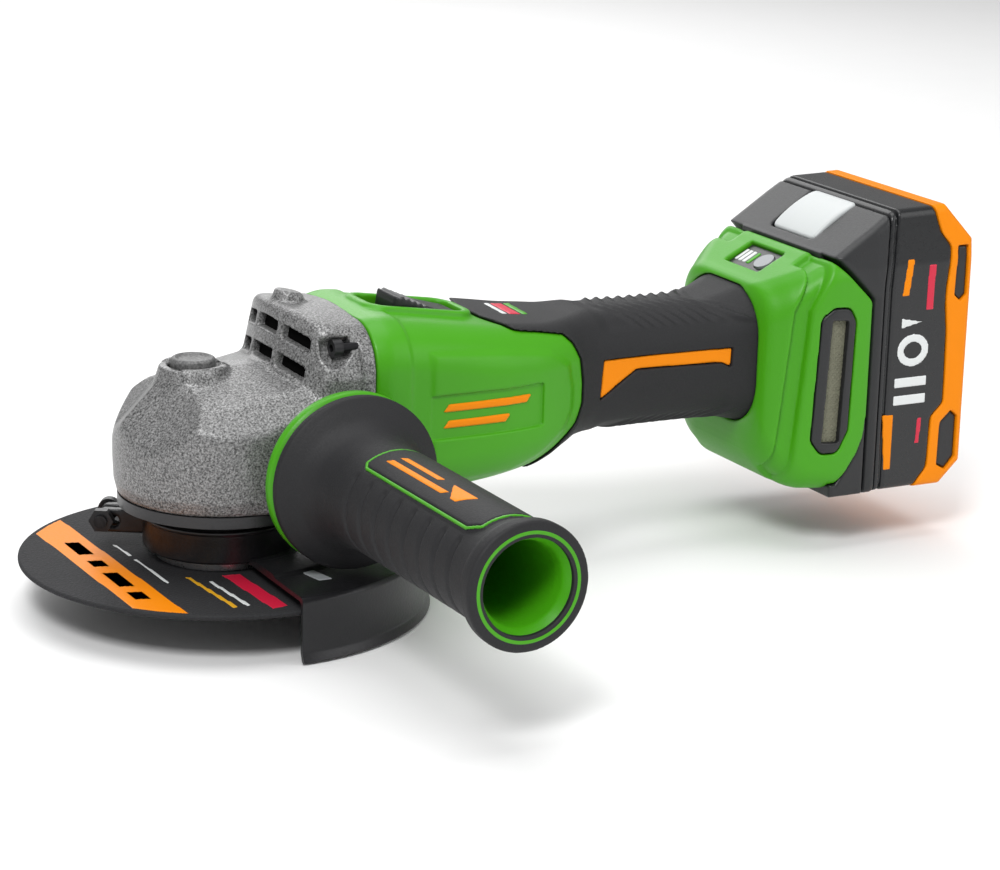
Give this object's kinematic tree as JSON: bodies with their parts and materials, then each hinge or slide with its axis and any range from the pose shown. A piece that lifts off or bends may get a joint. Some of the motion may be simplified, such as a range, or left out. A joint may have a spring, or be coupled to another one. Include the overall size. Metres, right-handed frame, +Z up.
{
  "type": "angle grinder",
  "caption": "Cordless angle grinder with a half-round guard over a thin cutting disc, a slide switch, a side handle and a slide-on battery pack.",
  "frame": {"origin": "centre of the clamp nut's outer face, on the spindle axis", "axes": "+Z up along the spindle, +X back along the motor to the battery, -Y towards the side handle"},
  "size_m": [0.3205, 0.2229, 0.115],
  "materials": {
    "cast_grey": "hammertone cast",
    "green_plastic": "moulded satin",
    "black_rubber": "ribbed matte",
    "black_plastic": "moulded satin",
    "orange_plastic": "moulded satin",
    "pale_plastic": "moulded satin",
    "black_paint": "powder coat",
    "abrasive": "gritty with printed bands",
    "mesh_grey": "woven",
    "aluminium_part": "machined",
    "cell_sleeve": "plastic sleeve",
    "board_green": "lacquered",
    "bright_steel": "zinc plated"
  },
  "bodies": {
    "housing": {"base_bumper": "black_plastic", "bearing_cover": "aluminium_part", "case_screw_1": "bright_steel", "case_screw_2": "bright_steel", "controller": "aluminium_part", "cover_screw_1": "bright_steel", "cover_screw_2": "bright_steel", "cover_screw_3": "bright_steel", "cover_screw_4": "bright_steel", "fan_baffle": "black_plastic", "gear_case": "cast_grey", "indicator_panel": "black_plastic", "left_body_shell": "green_plastic", "left_grip_rubber": "black_rubber", "left_vent_mesh": "mesh_grey", "lower_bearing_outer": "bright_steel", "motor_bracket": "black_plastic", "needle_bearing": "bright_steel", "right_body_shell": "green_plastic", "right_grip_rubber": "black_rubber", "right_vent_mesh": "mesh_grey", "rotor_front_bearing_outer": "bright_steel", "rotor_rear_bearing_outer": "bright_steel", "stator": "bright_steel", "switch_module": "black_plastic", "terminal_block": "black_plastic"},
    "spindle_group": {"spindle": "bright_steel", "crown_gear": "bright_steel", "lower_bearing_inner": "bright_steel", "inner_flange": "bright_steel", "cutting_disc": "abrasive", "clamp_nut": "bright_steel"},
    "rotor_group": {"rotor": "bright_steel", "pinion": "bright_steel", "fan": "black_plastic", "rotor_front_bearing_inner": "bright_steel", "rotor_rear_bearing_inner": "bright_steel"},
    "guard_group": {"guard": "black_paint", "guard_clamp_screw": "bright_steel", "guard_clamp_nut": "bright_steel"},
    "handle_lock": {"handle_washer": "green_plastic"},
    "side_handle": {"handle_core": "green_plastic", "handle_grip": "black_rubber", "handle_badge": "black_plastic", "handle_stud": "bright_steel"},
    "switch_carrier": {"switch_slider": "black_plastic"},
    "switch_top": {"switch_knob": "black_plastic"},
    "spindle_lock": {"spindle_lock_button": "black_plastic", "spindle_lock_pin": "bright_steel", "spindle_lock_spring": "bright_steel"},
    "speed_key": {"speed_button": "pale_plastic"},
    "battery": {"battery_front_shell": "black_plastic", "battery_rear_shell": "black_plastic", "battery_trim": "orange_plastic", "battery_cells": "cell_sleeve", "battery_board": "board_green", "release_spring": "bright_steel"},
    "battery_release": {"release_button": "pale_plastic"}
  },
  "joints": [
    {"name": "spindle_spin", "type": "hinge", "parent": "housing", "child": "spindle_group", "pos_m": [0, 0, 0], "axis": [0, 0, 1], "continuous": true},
    {"name": "rotor_spin", "type": "hinge", "parent": "housing", "child": "rotor_group", "pos_m": [0, 0, 0.0545], "axis": [1, 0, 0], "continuous": true},
    {"name": "guard_swivel", "type": "hinge", "parent": "housing", "child": "guard_group", "pos_m": [0, 0, 0], "axis": [0, 0, 1], "range_deg": [-90, 70]},
    {"name": "handle_turn", "type": "hinge", "parent": "housing", "child": "handle_lock", "pos_m": [0.024, -0.038, 0.0407], "axis": [0, -1, 0], "range_deg": [0, 2880]},
    {"name": "handle_travel", "type": "slide", "parent": "handle_lock", "child": "side_handle", "axis": [0, -1, 0], "range_m": [0, 0.0101]},
    {"name": "switch_slide", "type": "slide", "parent": "housing", "child": "switch_carrier", "axis": [-0.989, 0, 0.1478], "range_m": [0, 0.007], "stiffness_N_per_m": 200, "springref_m": -0.005},
    {"name": "switch_rock", "type": "hinge", "parent": "switch_carrier", "child": "switch_top", "pos_m": [0.06466, 0, 0.07863], "axis": [0, 1, 0], "range_deg": [-2, 0], "stiffness_Nm_per_rad": 0.5, "springref_deg": 5.73},
    {"name": "spindle_lock_press", "type": "slide", "parent": "housing", "child": "spindle_lock", "axis": [0, 0, -1], "range_m": [0, 0.0042], "stiffness_N_per_m": 800, "springref_m": -0.002, "deforming": ["spindle_lock_spring"]},
    {"name": "speed_press", "type": "slide", "parent": "housing", "child": "speed_key", "axis": [0.4695, 0, -0.8829], "range_m": [0, 0.0008], "stiffness_N_per_m": 600, "springref_m": -0.0005},
    {"name": "battery_slide", "type": "slide", "parent": "housing", "child": "battery", "axis": [0, 0, 1], "range_m": [0, 0.1]},
    {"name": "battery_release_press", "type": "slide", "parent": "battery", "child": "battery_release", "axis": [0.5373, 0, -0.8434], "range_m": [0, 0.0016], "stiffness_N_per_m": 900, "springref_m": -0.002, "deforming": ["release_spring"]}
  ],
  "couplings": [
    {"joint": "rotor_spin", "follows": "spindle_spin", "ratio": 3.1667},
    {"joint": "handle_travel", "follows": "handle_turn", "m_per_rad": 0.00019894}
  ]
}
